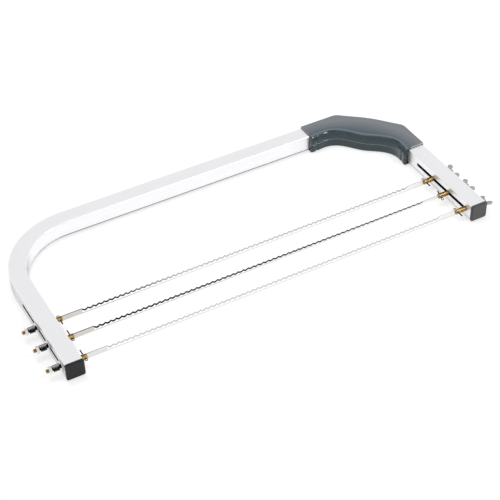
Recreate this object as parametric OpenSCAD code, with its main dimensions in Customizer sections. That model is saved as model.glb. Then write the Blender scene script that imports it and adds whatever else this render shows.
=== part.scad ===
// Cake leveler: a bent square tube bow that carries three scalloped blades.
// It lies flat on the worktop. X runs along the blades, Y runs from the open
// ends of the arms to the back of the bow, and Z is up. In use the bow stands
// on the plugs at the open ends, and the blades are drawn through the cake.

/* [Bow] */
// Width of the bow over both arms
bow_w = 518; // [460:1:640]
// Depth of the bow from the cut ends of the arms to the back of the tube
bow_d = 228; // [215:1:300]
// Outside size of the square tube
tube_s = 20; // [18:0.5:24]
// Wall of the tube
tube_wall = 1.5; // [1:0.1:2.5]
// Radius on the long edges of the tube
tube_edge_r = 1.5; // [0.5:0.1:2.5]
// Centreline radius of the bare bend
bare_bend_r = 82; // [60:1:110]
// Centreline radius of the bend inside the grip
grip_bend_r = 95; // [84:1:105]

/* [Slots] */
// Opening of the slots that guide the studs
slot_w = 4.4; // [4.2:0.1:5]
// Distance from the cut ends of the arms to the slots
slot_start = 7.4; // [7:0.1:9]
// Length of the slot in the left arm
left_slot_len = 108; // [90:1:112]
// Length of the slot in the right arm
right_slot_len = 100; // [90:1:104]

/* [Blades] */
// Distance of the front blade from the cut ends of the arms
front_station = 10.5; // [10:0.5:14]
// Distance of the middle blade from the cut ends of the arms
middle_station = 44; // [40:0.5:48]
// Distance of the rear blade from the cut ends of the arms
rear_station = 74.5; // [72:0.5:85]
// Width of the blade steel
blade_w = 7; // [5.5:0.1:9]
// Thickness of the blade steel
blade_t = 0.6; // [0.4:0.05:0.9]
// Length of the plain shank at each end of a blade
shank_len = 27; // [20:1:40]
// Pitch of the scallops
scallop_pitch = 6.3; // [4:0.1:10]
// Depth of the scallops
scallop_depth = 1.9; // [0.8:0.1:2.4]
// Height of the ground bevel behind the edge
bevel_h = 1.5; // [0.6:0.1:2]
// Step from the top of the shank down to the tooth tips
tip_drop = 0.4; // [0.1:0.1:1]
// Turn of the middle blade's right end about its length, in degrees
middle_turn = 25; // [-40:1:40]

/* [Holders] */
// Diameter of the brass holders
holder_d = 6; // [5.5:0.1:7]
// Length of the left holders in front of the arm
left_holder_len = 8; // [7:0.5:14]
// Length of the right holders in front of the arm
right_holder_len = 13.5; // [7:0.5:16]
// Depth of the slit that takes the blade
slit_depth = 5.5; // [4.5:0.1:6.5]
// Diameter of the studs behind the holders
stud_d = 4; // [3:0.1:4]
// Small chamfer on the turned ends
turned_chamfer = 0.4; // [0.2:0.05:0.6]

/* [Split pins] */
// Diameter of the closed legs
pin_d = 1.5; // [1:0.1:1.8]
// Reach of the legs from the holder's centre
pin_reach = 11; // [8:0.5:12]
// Mean diameter of the eye
eye_d = 2.8; // [2.2:0.1:3.4]

/* [Tension hardware] */
// Diameter of the washers
washer_d = 12; // [9:0.5:15]
// Thickness of the washers
washer_t = 1; // [0.6:0.1:1.6]
// Outside diameter of the tension springs
spring_d = 7.6; // [7:0.1:9]
// Wire diameter of the tension springs
spring_wire = 0.8; // [0.6:0.05:0.9]
// Length of a tension spring as it is set
spring_len = 9.6; // [9:0.1:13]
// Curls of a tension spring
spring_curls = 5.25; // [4:0.25:5.5]
// Distance across the flats of the tension nuts
nut_af = 7; // [6.5:0.1:8]
// Thickness of the tension nuts
nut_t = 3.2; // [2.5:0.1:4]
// Length of stud beyond the tension nut
stud_tip = 2.8; // [1:0.1:5]

/* [Wing nuts] */
// Diameter of the boss
boss_d = 8; // [7:0.1:9]
// Length of the boss
boss_len = 4.8; // [4:0.1:6]
// Span over both wings
wing_span = 20; // [17:0.5:20.5]
// Height of the wings from the foot of the boss
wing_h = 11; // [9:0.5:13]
// Thickness of the wings
wing_t = 1.8; // [1.2:0.1:2.4]
// Length of stud beyond the boss
wing_stud_tip = 2; // [1:0.1:4]

/* [Grip] */
// Plastic above and below the tube
grip_cover = 1.8; // [1.5:0.1:3]
// Plastic behind the back of the tube
grip_back = 0.8; // [0.6:0.1:2]
// Wall on the finger side
grip_wall = 1.8; // [1.5:0.1:2.5]
// Plastic over the tube in the middle of the slanted outer corner
corner_cover = 2.2; // [1.5:0.1:5]
// Radius at the ends of the slanted corner
corner_r = 12; // [4:1:20]
// Cover in the finger grooves over the inside of the tube
groove_cover = 3; // [2.5:0.1:5]
// Height of the palm swell over the grooves
swell_h = 9; // [5:0.5:13]
// Height of the lips over the grooves at both ends
lip_h = 3.5; // [2:0.1:6]
// Angle from the middle of the swell to the bottom of a groove
groove_angle = 28.5; // [22:0.5:33]
// Radius of the finger-side edges
grip_edge_r = 7; // [4:0.5:9]
// Rounding of the lips at the open ends
lip_r = 2.2; // [1:0.1:3]
// Straight run of the grip along the back of the bow
back_tail = 3.5; // [2:0.5:20]
// Straight run of the grip along the right arm
arm_tail = 2; // [1:0.5:4]
// Depth of the groove where the two halves meet
seam_d = 0.35; // [0.1:0.05:0.8]
// Thickness of the rib inside the grip
rib_t = 1.6; // [1:0.1:3]
// Draft on each side of the rib
rib_draft = 0.3; // [0.1:0.1:0.6]
// Diameter of the grip screws
screw_d = 2.6; // [2:0.1:3]
// Diameter of the screw heads
screw_head_d = 5; // [4:0.1:5.4]
// Angle between a grip screw and the middle of the bend
screw_angle = 21; // [19:0.5:23]

/* [End plugs] */
// Thickness of the plug heads
plug_head_t = 3; // [2:0.1:5]
// Amount by which the heads stand proud of the tube
plug_proud = 0.4; // [0.1:0.1:0.8]
// Length of the hollow stems inside the tube
plug_stem = 6; // [4:0.1:6.2]
// Wall of the hollow stems
plug_wall = 1.6; // [1:0.1:3]

/* [Fits] */
// Gap between the bow and what slides along its faces
slide_gap = 0.1; // [0.05:0.05:0.3]
// Radial running clearance of the nuts on the studs
run_fit = 0.05; // [0.02:0.01:0.1]
// Gap on each side between pieces of one blade set
seat_gap = 0.1; // [0.05:0.05:0.2]
// Gap between the grip and the tube
grip_fit = 0.1; // [0.05:0.05:0.3]

/* [Hidden] */

// Blade sets by number
front = 0;
middle = 1;
rear = 2;
stations = [front_station, middle_station, rear_station];
right_turns = [0, middle_turn, 0];
// Direction of the split pins' legs along Y, and their share of the full reach
left_pin_ways = [1, 1, -1];
left_pin_shares = [1, 1, 0.72];
right_pin_ways = [-1, 1, -1];
right_pin_shares = [0.85, 0.6, 0.85];
// Turn of each wing nut as it was last set, in degrees
wing_turns = [-9, 4, 12];

smooth = 48;
fine = 24;
mid_z = grip_cover + tube_s / 2;
left_inner = tube_s;
right_inner = bow_w - tube_s;
bore_s = tube_s - 2 * tube_wall;
stud_r = stud_d / 2;
slit_w = blade_t + 2 * seat_gap;

// Stations along X of what sits outside the left arm, counted from its face
washer_x = slide_gap + washer_t;
spring_x = washer_x + spring_len;
nut_x = spring_x + seat_gap + nut_t;
left_reach = nut_x + stud_tip;
// Reach of the wing nuts outside the right arm
wing_x = slide_gap + washer_t + seat_gap;
right_reach = wing_x + wing_h;
right_stud = wing_x + boss_len + wing_stud_tip;

// The origin is below the middle of everything, on the worktop
origin_x = (bow_w + right_reach - left_reach) / 2;
origin_y = (bow_d + grip_back - plug_head_t) / 2;

// Ends of the blades inside their holders
left_mouth = left_inner + slide_gap + left_holder_len;
right_mouth = right_inner - slide_gap - right_holder_len;
blade_seat = slit_depth - 0.5;
blade_x0 = left_mouth - blade_seat;
blade_x1 = right_mouth + blade_seat;
scallops = floor((blade_x1 - blade_x0 - 2 * shank_len) / scallop_pitch);
edge_x0 = (blade_x0 + blade_x1 - scallops * scallop_pitch) / 2;
edge_x1 = edge_x0 + scallops * scallop_pitch;
pin_inset = slit_depth / 2;

// Bend of the tube inside the grip
grip_cx = bow_w - tube_s / 2 - grip_bend_r;
grip_cy = bow_d - tube_s / 2 - grip_bend_r;
grip_in_r = grip_bend_r - tube_s / 2;
grip_half = tube_s / 2 + grip_cover;
grip_arc = grip_in_r * PI / 2;
grip_run = back_tail + grip_arc + arm_tail;

echo(str("overall ", bow_w + left_reach + right_reach, " x ",
    bow_d + grip_back + plug_head_t, " x ", 2 * grip_half, " mm"));
echo(str("scallops on a blade: ", scallops));

module at_origin() {
    translate([-origin_x, -origin_y, 0]) children();
}

// Turns what is drawn along Z so that it runs along +X
module along_x(x, y) {
    translate([x, y, mid_z]) rotate([0, 90, 0]) children();
}

// Solid through rings of points, each ring right-handed about the way of travel.
// The ends are closed by the faces in ends, or by one face each where they
// are plain.
module loft(rings, ends = []) {
    n = len(rings[0]);
    last = len(rings) - 1;
    caps = len(ends) > 0 ? ends : [[for (i = [0 : n - 1]) i]];
    polyhedron(
        points = [for (ring = rings) for (p = ring) p],
        faces = concat(
            caps,
            [for (k = [0 : last - 1]) for (i = [0 : n - 1])
                let (j = (i + 1) % n)
                [k * n + i, (k + 1) * n + i, (k + 1) * n + j]],
            [for (k = [0 : last - 1]) for (i = [0 : n - 1])
                let (j = (i + 1) % n)
                [k * n + i, (k + 1) * n + j, k * n + j]],
            [for (cap = caps) [for (i = [len(cap) - 1 : -1 : 0]) last * n + cap[i]]]
        )
    );
}

// Bow

module rounded_square(side, r) {
    square([side - 2 * r, side], center = true);
    square([side, side - 2 * r], center = true);
    for (x = [-1, 1], y = [-1, 1])
        translate([x, y] * (side / 2 - r)) circle(r = r, $fn = fine);
}

module bend(cx, cy, turn, r) {
    translate([cx, cy, mid_z]) rotate([0, 0, turn])
        rotate_extrude(angle = 90, $fn = 4 * smooth) translate([r, 0]) children();
}

// Square section swept round the bow, with the arms run on past their ends
module bow_sweep(side, edge_r, run_on) {
    bare_c = bare_bend_r + tube_s / 2;
    translate([tube_s / 2, -run_on, mid_z]) rotate([-90, 0, 0])
        linear_extrude(bow_d - bare_c + run_on) rounded_square(side, edge_r);
    bend(bare_c, bow_d - bare_c, 90, bare_bend_r) rounded_square(side, edge_r);
    translate([bare_c, bow_d - tube_s / 2, mid_z]) rotate([0, 90, 0])
        linear_extrude(grip_cx - bare_c) rounded_square(side, edge_r);
    bend(grip_cx, grip_cy, 0, grip_bend_r) rounded_square(side, edge_r);
    translate([bow_w - tube_s / 2, -run_on, mid_z]) rotate([-90, 0, 0])
        linear_extrude(grip_cy + run_on) rounded_square(side, edge_r);
}

// Slot with round ends through both walls of an arm
module stud_slot(arm_x, length) {
    along_x(arm_x - 1, slot_start) linear_extrude(tube_s + 2) {
        translate([-slot_w / 2, slot_w / 2]) square([slot_w, length - slot_w]);
        translate([0, slot_w / 2]) circle(d = slot_w, $fn = smooth);
        translate([0, length - slot_w / 2]) circle(d = slot_w, $fn = smooth);
    }
}

module frame_tube() {
    color("gainsboro") at_origin() difference() {
        bow_sweep(tube_s, tube_edge_r, 0);
        bow_sweep(bore_s, 0.3, 1);
        stud_slot(0, left_slot_len);
        stud_slot(right_inner, right_slot_len);
    }
}

// Plug with a bevelled head and a hollow stem
module end_plug(x) {
    head_s = tube_s + 2 * plug_proud;
    stem_s = bore_s - 2 * seat_gap;
    bevel = plug_head_t / 4;
    color("#26262a") at_origin() translate([x, 0, mid_z]) rotate([90, 0, 0]) {
        hull() {
            linear_extrude(plug_head_t - bevel) rounded_square(head_s, 2);
            linear_extrude(plug_head_t) rounded_square(head_s - 2 * bevel, 2);
        }
        translate([0, 0, -plug_stem]) difference() {
            linear_extrude(plug_stem) rounded_square(stem_s, 0.5);
            translate([0, 0, -1])
                linear_extrude(plug_stem + 1) rounded_square(stem_s - 2 * plug_wall, 0.5);
        }
    }
}

module left_end_plug() end_plug(tube_s / 2);
module right_end_plug() end_plug(bow_w - tube_s / 2);

// Grip

// Cover over the inside of the tube at an angle round the bend. It swells in
// the middle for the palm, sinks into two finger grooves and rises to the lips.
function side_cover(angle) =
    let (u = abs(angle - 45))
    u < groove_angle
        ? groove_cover + swell_h * (1 + cos(180 * u / groove_angle)) / 2
        : groove_cover + lip_h
            * (1 - cos(180 * min(1, (u - groove_angle) / (45 - groove_angle)))) / 2;

// Angle round the bend at a distance along the finger side
function run_angle(s) = max(0, min(90, 90 - (s - back_tail) / grip_arc * 90));

// How far the rounded lips draw back near the open ends
function lip_drop(s) =
    let (d = max(0, min(s, grip_run - s)))
    d > lip_r ? 0 : lip_r - sqrt(lip_r * lip_r - (lip_r - d) * (lip_r - d));

// How far the finger-side edge draws back at a height over the seam
function edge_drop(h) =
    let (over = max(0, h - (grip_half - grip_edge_r)))
    grip_edge_r - sqrt(max(0, grip_edge_r * grip_edge_r - over * over));

// Radius round the bend of the finger side, drawn back by an inset
function finger_r(run, inset) =
    grip_in_r - side_cover(run_angle(run)) + lip_drop(run) + inset;

// Point at a distance along the grip and a radius round the bend
function run_point(run, r, z) =
    let (
        angle = run_angle(run),
        tail_x = min(0, run - back_tail),
        tail_y = max(0, run - back_tail - grip_arc)
    )
    [grip_cx + r * cos(angle) + tail_x, grip_cy + r * sin(angle) - tail_y, z];

// Stations along the grip: close together on the lips, even over both bays,
// and at the foot and the crest of the rib that stiffens the swell
lip_steps = [0, 0.12, 0.35, 0.65, 1] * lip_r;
bay_steps = 22;
rib_run = back_tail + grip_arc / 2;
rib_foot = rib_t / 2 + rib_draft;

function bay_runs(a, b) = [for (i = [0 : bay_steps]) a + (b - a) * i / bay_steps];

grip_runs = concat(
    [for (i = [0 : len(lip_steps) - 2]) lip_steps[i]],
    bay_runs(lip_r, rib_run - rib_foot),
    [rib_run - rib_t / 2, rib_run + rib_t / 2],
    bay_runs(rib_run + rib_foot, grip_run - lip_r),
    [for (i = [len(lip_steps) - 2 : -1 : 0]) grip_run - lip_steps[i]]
);

// Radius from the bend's centre to the back of the grip: the side, the rounded
// end of the slanted corner, or the slanted corner itself
function back_r(angle) =
    let (
        a = min(angle, 90 - angle),
        side = tube_s / 2 + grip_bend_r + grip_back,
        slant = tube_s / 2 + grip_bend_r + corner_cover,
        corner_y = slant * sqrt(2) - side,
        cut = corner_r * tan(22.5),
        round_x = side - corner_r,
        round_y = corner_y - cut,
        arc_end_x = side - cut / sqrt(2),
        arc_end_y = corner_y + cut / sqrt(2),
        along = round_x * cos(a) + round_y * sin(a)
    )
    a < atan2(round_y, side) ? side / cos(a)
        : a > atan2(arc_end_y, arc_end_x) ? slant / cos(45 - a)
        : along + sqrt(along * along - round_x * round_x - round_y * round_y + corner_r * corner_r);

// Levels of one half's skin above the seam: the seam's groove, the plain side
// and the rounded edge. The hollow has as many, up to the top of the tube's seat.
skin_levels = concat(
    [0, seam_d],
    [for (a = [0 : 15 : 90]) grip_half - grip_edge_r + grip_edge_r * sin(a)]
);
seat_top = tube_s / 2 + grip_fit;
hollow_levels = [for (h = skin_levels) h * seat_top / grip_half];
top_level = len(skin_levels) - 1;

// Finger side of the hollow at one level. It is a wall inside the skin, or the
// seat of the tube at the rib and where the skin comes closer than that.
function hollow_r(run, level) =
    let (seat_r = grip_in_r - grip_fit)
    abs(run - rib_run) < rib_foot - rib_draft / 2
        ? seat_r
        : min(seat_r, finger_r(run, grip_wall + edge_drop(skin_levels[level])));

function skin_r(run, level) =
    finger_r(run, edge_drop(skin_levels[level]) + (level == 0 ? seam_d : 0));

// Cross-section of one half: the hollow, the seat of the tube, the back and
// the skin from the top down to the seam
function grip_ring(run) =
    let (
        seat_r = grip_bend_r + tube_s / 2 + grip_fit,
        back = back_r(run_angle(run))
    )
    concat(
        [for (n = [0 : top_level]) run_point(run, hollow_r(run, n), hollow_levels[n])],
        [
            run_point(run, seat_r, seat_top),
            run_point(run, seat_r, 0),
            run_point(run, back, 0),
            run_point(run, back, grip_half)
        ],
        [for (n = [top_level : -1 : 0]) run_point(run, skin_r(run, n), skin_levels[n])]
    );

// Faces that close the cross-section: the wall behind the tube, the wall above
// it and the finger side's wall
grip_ends =
    let (seat = top_level + 1, skin = 2 * top_level + 5)
    concat(
        [[seat + 1, seat + 2, seat + 3, seat], [top_level, seat, seat + 3, seat + 4]],
        [for (n = [0 : top_level - 1]) [skin - n, n, n + 1]],
        [for (n = [0 : top_level - 1]) [skin - n, n + 1, skin - n - 1]]
    );

module grip_shell() {
    loft([for (run = grip_runs) grip_ring(run)], grip_ends);
}

// Puts a piece at each grip screw, in the solid plastic outside the bend
module at_screws() {
    screw_r = grip_bend_r + tube_s / 2 + screw_head_d / 2 + grip_wall;
    for (side = [-1, 1])
        translate([grip_cx, grip_cy, 0]) rotate([0, 0, 45 + side * screw_angle])
            translate([screw_r, 0, 0]) children();
}

// Depth of the counterbores, plastic left over the screws' tips, and the heads
screw_seat = 3;
screw_tip = 4;
screw_head_t = 1.8;
drive_span = 2.6;
drive_w = 0.6;

module grip_upper() {
    color("slategray") at_origin() translate([0, 0, mid_z]) difference() {
        grip_shell();
        at_screws() translate([0, 0, -1])
            cylinder(d = screw_d + 2 * seat_gap, h = grip_half - screw_tip + 1 + 5 * seat_gap, $fn = fine);
    }
}

module grip_lower() {
    color("slategray") at_origin() translate([0, 0, mid_z]) mirror([0, 0, 1]) difference() {
        grip_shell();
        at_screws() translate([0, 0, -1])
            cylinder(d = screw_d + 2 * seat_gap, h = grip_half + 2, $fn = fine);
        at_screws() translate([0, 0, grip_half - screw_seat])
            cylinder(d = screw_head_d + 2 * seat_gap, h = screw_seat + 1, $fn = smooth);
    }
}

module grip_screws() {
    color("silver") at_origin() at_screws()
        translate([0, 0, screw_seat - seat_gap]) {
            cylinder(d = screw_d, h = 2 * grip_half - screw_seat - screw_tip, $fn = fine);
            translate([0, 0, -screw_head_t]) difference() {
                cylinder(d = screw_head_d, h = screw_head_t, $fn = smooth);
                for (turn = [0, 90]) rotate([0, 0, turn])
                    translate([-drive_span / 2, -drive_w / 2, -1]) cube([drive_span, drive_w, 2]);
            }
        }
}

// Blades

// Height of the cutting edge within one scallop, which has pointed tips and a
// round hollow between them
function edge_z(u) = blade_w / 2 - tip_drop - scallop_depth * sin(180 * u);

// Turn of the blade about its length, which runs out evenly over the teeth
function blade_turn(i, x) =
    right_turns[i] * max(0, min(1, (x - edge_x0) / (edge_x1 - edge_x0)));

// Cross-section of a blade: flat at the back, ground away at the front edge
function blade_ring(i, x, top_z, bevel) =
    let (
        a = blade_turn(i, x),
        half = blade_t / 2,
        outline = [[half, -blade_w / 2], [half, top_z], [-half, top_z - bevel], [-half, -blade_w / 2]]
    )
    [for (p = outline)
        [x, stations[i] + p[0] * cos(a) - p[1] * sin(a), mid_z + p[0] * sin(a) + p[1] * cos(a)]];

points_per_scallop = 4;
// Length over which the plain shanks run down to the teeth
shoulder = 1.2;

module blade(i) {
    shank_top = blade_w / 2;
    rings = concat(
        [blade_ring(i, blade_x0, shank_top, 0)],
        [blade_ring(i, edge_x0 - shoulder, shank_top, 0)],
        [for (n = [0 : scallops * points_per_scallop])
            blade_ring(i, edge_x0 + n * scallop_pitch / points_per_scallop,
                edge_z((n % points_per_scallop) / points_per_scallop), bevel_h)],
        [blade_ring(i, edge_x1 + shoulder, shank_top, 0)],
        [blade_ring(i, blade_x1, shank_top, 0)]
    );
    color("silver") at_origin() difference() {
        loft(rings);
        pin_bore(left_mouth - pin_inset, stations[i], 0);
        pin_bore(right_mouth + pin_inset, stations[i], right_turns[i]);
    }
}

module pin_bore(x, y, turn) {
    translate([x, y, mid_z]) rotate([turn, 0, 0]) rotate([90, 0, 0])
        cylinder(d = pin_d + 2 * seat_gap, h = holder_d + 2, center = true, $fn = fine);
}

// Brass holder drawn along Z: the slit head reaches up to z = 0 and the stud
// runs down from its shoulder
module turned_holder(head_len, stud_len) {
    c = turned_chamfer;
    r = holder_d / 2;
    difference() {
        rotate_extrude($fn = smooth) polygon([
            [0, 0], [r - c, 0], [r, -c], [r, c - head_len], [r - c, -head_len],
            [stud_r, -head_len], [stud_r, c - head_len - stud_len],
            [stud_r - c, -head_len - stud_len], [0, -head_len - stud_len]
        ]);
        translate([-r - 1, -slit_w / 2, -slit_depth]) cube([holder_d + 2, slit_w, slit_depth + 1]);
        translate([0, 0, -pin_inset]) rotate([90, 0, 0])
            cylinder(d = pin_d + 2 * seat_gap, h = holder_d + 2, center = true, $fn = fine);
    }
}

module left_holder(i) {
    color("goldenrod") at_origin() along_x(left_mouth, stations[i])
        turned_holder(left_holder_len, left_inner + slide_gap + left_reach);
}

module right_holder(i) {
    color("goldenrod") at_origin() along_x(right_mouth, stations[i])
        rotate([0, 0, right_turns[i]]) mirror([0, 0, 1])
            turned_holder(right_holder_len, tube_s + slide_gap + right_stud);
}

// Gap between the legs of a split pin
leg_gap = 0.3;

// Split pin: an eye on one side of the holder and two closed legs on the other
module split_pin(i, x, way, share, turn) {
    wire = pin_d / 2;
    eye_y = holder_d / 2 + eye_d / 2 + wire / 2;
    reach = pin_reach * share;
    color("dimgray") at_origin() translate([x, stations[i], mid_z]) rotate([turn, 0, 0])
        mirror([0, way < 0 ? 1 : 0, 0]) {
            translate([0, -eye_y, 0]) rotate_extrude($fn = smooth)
                translate([eye_d / 2, 0]) circle(d = wire, $fn = fine);
            difference() {
                translate([0, -holder_d / 2 - wire, 0]) rotate([-90, 0, 0])
                    cylinder(d = pin_d, h = reach + holder_d / 2 + wire, $fn = fine);
                translate([-leg_gap / 2, (holder_d + pin_d) / 2, -pin_d])
                    cube([leg_gap, reach, 2 * pin_d]);
            }
        }
}

module left_pin(i) {
    split_pin(i, left_mouth - pin_inset, left_pin_ways[i], left_pin_shares[i], 0);
}

module right_pin(i) {
    split_pin(i, right_mouth + pin_inset, right_pin_ways[i], right_pin_shares[i], right_turns[i]);
}

// Tension hardware

module washer(x, i) {
    color("gainsboro") at_origin() along_x(x, stations[i]) difference() {
        cylinder(d = washer_d, h = washer_t, $fn = smooth);
        translate([0, 0, -1]) cylinder(d = stud_d + 2 * seat_gap, h = washer_t + 2, $fn = smooth);
    }
}

module left_washer(i) washer(-washer_x, i);
module right_washer(i) washer(bow_w + slide_gap, i);

// The spring's wire as distances round and along its cylinder. Each end is
// straight along the axis for one wire diameter and bends into the winding.
spring_r = (spring_d - spring_wire) / 2;
spring_bend = 0.5;
spring_round = 2 * PI * spring_r * spring_curls;
spring_end_x = spring_wire + spring_bend;
spring_steps = ceil(spring_curls * 8);
spring_start = concat(
    [[0, 0], [0, spring_wire]],
    [for (a = [40, 75])
        [spring_bend * (1 - cos(a)), spring_wire + spring_bend * sin(a)]]
);
spring_path = concat(
    spring_start,
    [for (n = [1 : spring_steps - 1])
        [spring_bend + (spring_round - 2 * spring_bend) * n / spring_steps,
         spring_end_x + (spring_len - 2 * spring_end_x) * n / spring_steps]],
    [for (n = [len(spring_start) - 1 : -1 : 0])
        [spring_round, spring_len] - spring_start[n]]
);

function spring_point(p) =
    let (a = p[0] / spring_r * 180 / PI)
    [p[1], spring_r * cos(a), spring_r * sin(a)];

function unit(v) = v / norm(v);

// Way of travel at a point of the path, in the unrolled plane
function path_way(n) =
    n == 0 || n == len(spring_path) - 1
        ? [0, 1]
        : unit(unit(spring_path[n] - spring_path[n - 1])
            + unit(spring_path[n + 1] - spring_path[n]));

spring_sides = 6;

// Ring of the wire's skin, square to the wire
function spring_ring(n) =
    let (
        p = spring_path[n],
        a = p[0] / spring_r * 180 / PI,
        way = path_way(n),
        out = [0, cos(a), sin(a)],
        round_dir = [0, -sin(a), cos(a)],
        side = way[0] * [1, 0, 0] - way[1] * round_dir
    )
    [for (k = [0 : spring_sides - 1])
        let (b = 360 * k / spring_sides)
        spring_point(p) + spring_wire / 2 * (cos(b) * out + sin(b) * side)];

// Least gap of the wire to itself, over points more than half a curl apart
spring_gap = min([for (m = [0 : len(spring_path) - 1]) for (n = [m + 1 : len(spring_path) - 1])
    if (spring_path[n][0] - spring_path[m][0] > PI * spring_r)
        norm(spring_point(spring_path[n]) - spring_point(spring_path[m]))]) - spring_wire;
echo(str("least gap of a tension spring to itself: ", spring_gap, " mm"));

module tension_spring(i) {
    color("#1c1c1e") at_origin() translate([-spring_x, stations[i], mid_z])
        loft([for (n = [0 : len(spring_path) - 1]) spring_ring(n)]);
}

module tension_nut(i) {
    corner = nut_af / sqrt(3);
    color("whitesmoke") at_origin() along_x(-nut_x, stations[i]) difference() {
        intersection() {
            cylinder(r = corner, h = nut_t, $fn = 6);
            rotate_extrude($fn = smooth) polygon([
                [0, 0], [nut_af / 2, 0], [corner + 0.1, 0.4], [corner + 0.1, nut_t - 0.4],
                [nut_af / 2, nut_t], [0, nut_t]
            ]);
        }
        translate([0, 0, -1]) cylinder(r = stud_r + run_fit, h = nut_t + 2, $fn = smooth);
    }
}

// One wing in its own plane: a round ear that flares out from the boss
module wing_outline() {
    ear_r = wing_h * 0.27;
    tip = wing_span / 2 - ear_r;
    translate([tip, wing_h - ear_r]) circle(r = ear_r, $fn = smooth);
    polygon([
        [stud_r + 0.8, 0.6], [boss_d / 2 + 0.6, 0.8], [wing_span / 2 - 0.35, wing_h - ear_r * 1.6],
        [tip - ear_r * 0.9, wing_h - ear_r * 0.6], [stud_r + 0.8, boss_len]
    ]);
}

module wing_nut(i) {
    color("gainsboro") at_origin() along_x(bow_w + wing_x, stations[i])
        rotate([0, 0, wing_turns[i]]) difference() {
            union() {
                cylinder(d1 = boss_d, d2 = boss_d - 1, h = boss_len, $fn = smooth);
                for (side = [0, 180])
                    rotate([0, 0, side + 90]) rotate([90, 0, 0])
                        translate([0, 0, -wing_t / 2]) linear_extrude(wing_t) wing_outline();
            }
            translate([0, 0, -1]) cylinder(r = stud_r + run_fit, h = boss_len + 2, $fn = smooth);
        }
}

frame_tube();
left_end_plug();
right_end_plug();
grip_upper();
grip_lower();
grip_screws();
blade(front);  // front_blade
left_holder(front);  // front_left_holder
right_holder(front);  // front_right_holder
left_pin(front);  // front_left_pin
right_pin(front);  // front_right_pin
left_washer(front);  // front_left_washer
tension_spring(front);  // front_tension_spring
tension_nut(front);  // front_tension_nut
right_washer(front);  // front_right_washer
wing_nut(front);  // front_wing_nut
blade(middle);  // middle_blade
left_holder(middle);  // middle_left_holder
right_holder(middle);  // middle_right_holder
left_pin(middle);  // middle_left_pin
right_pin(middle);  // middle_right_pin
left_washer(middle);  // middle_left_washer
tension_spring(middle);  // middle_tension_spring
tension_nut(middle);  // middle_tension_nut
right_washer(middle);  // middle_right_washer
wing_nut(middle);  // middle_wing_nut
blade(rear);  // rear_blade
left_holder(rear);  // rear_left_holder
right_holder(rear);  // rear_right_holder
left_pin(rear);  // rear_left_pin
right_pin(rear);  // rear_right_pin
left_washer(rear);  // rear_left_washer
tension_spring(rear);  // rear_tension_spring
tension_nut(rear);  // rear_tension_nut
right_washer(rear);  // rear_right_washer
wing_nut(rear);  // rear_wing_nut
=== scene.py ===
"""Dressed model of a cake leveler: a bent square tube bow that carries three scalloped blades.

Sizes are in millimetres and angles in degrees. X is counted from the outer face of the left
arm, Y from the cut ends of the arms and Z from the worktop, and BowSizes.place turns such
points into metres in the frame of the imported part.
"""
import logging
import math
from dataclasses import dataclass, replace
from enum import Enum
from functools import cache
from typing import Sequence, Union

import bpy
import numpy as np
from mathutils import Matrix, Vector


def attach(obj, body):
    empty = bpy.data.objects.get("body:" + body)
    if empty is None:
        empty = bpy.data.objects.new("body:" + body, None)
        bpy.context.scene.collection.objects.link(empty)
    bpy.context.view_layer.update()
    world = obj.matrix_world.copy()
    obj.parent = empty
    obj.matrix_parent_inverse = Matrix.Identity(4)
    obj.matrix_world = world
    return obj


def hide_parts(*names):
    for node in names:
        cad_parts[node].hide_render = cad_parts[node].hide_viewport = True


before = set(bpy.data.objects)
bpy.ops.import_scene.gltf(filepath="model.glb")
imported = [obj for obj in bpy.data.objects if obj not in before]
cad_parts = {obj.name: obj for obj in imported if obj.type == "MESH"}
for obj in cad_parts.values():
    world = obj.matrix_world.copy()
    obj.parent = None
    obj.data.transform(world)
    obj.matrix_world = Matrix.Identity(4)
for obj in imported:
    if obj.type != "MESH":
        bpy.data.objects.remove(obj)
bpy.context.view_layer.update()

MM = 0.001
BORE_SIDES = 32
BORE_SHARP = 30.0
WHITE = (1.0, 1.0, 1.0)
log = logging.getLogger("cake_leveler")

Piece = bpy.types.Object
Outputs = bpy.types.bpy_prop_collection
Socket = bpy.types.NodeSocket
Value = Union[float, Sequence[float], Socket]
Values = dict[Union[str, int], Value]
Pair = tuple[float, float]
Triple = tuple[float, float, float]
Range = tuple[float, float, float, float]
Colour = Triple


class Lane(Enum):
    """One of the three blades, by its place along the arms."""

    FRONT = "front"
    MIDDLE = "middle"
    REAR = "rear"


class Half(Enum):
    """One half of the grip, with the way it faces."""

    UPPER = 1
    LOWER = -1


# Sizes


@dataclass(frozen=True)
class BowSizes:
    """Sizes of the bow that the other pieces take their places from."""

    width: float = 518.0
    depth: float = 228.0
    tube: float = 20.0
    wall: float = 1.5
    bare_bend: float = 82.0
    grip_bend: float = 95.0
    mid_height: float = 11.8
    left_reach: float = 16.8
    right_reach: float = 12.2
    plug_head: float = 3.0
    grip_back: float = 0.8
    stations: Triple = (10.5, 44.0, 74.5)

    @property
    def origin(self) -> np.ndarray:
        """Point on the worktop below the middle of everything, in millimetres."""
        middle_x = (self.width + self.right_reach - self.left_reach) / 2
        return np.array([middle_x, (self.depth + self.grip_back - self.plug_head) / 2, 0.0])

    @property
    def bare_centre(self) -> Pair:
        """Centre of the bare bend."""
        inset = self.tube / 2 + self.bare_bend
        return inset, self.depth - inset

    @property
    def grip_centre(self) -> Pair:
        """Centre of the bend inside the grip."""
        inset = self.tube / 2 + self.grip_bend
        return self.width - inset, self.depth - inset

    def place(self, points: np.ndarray) -> np.ndarray:
        """Turns points of the drawing into points of the part.

        Args:
            points: An array of points in millimetres, with X, Y and Z last.

        Returns:
            The same points in metres, counted from the part's origin.
        """
        return (points - self.origin) * MM

    def spot(self, x: float, y: float) -> Pair:
        """X and Y in the part's frame, in metres, of a place in the drawing."""
        placed = self.place(np.array([x, y, 0.0]))
        return float(placed[0]), float(placed[1])


BOW = BowSizes()


# Meshes


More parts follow.
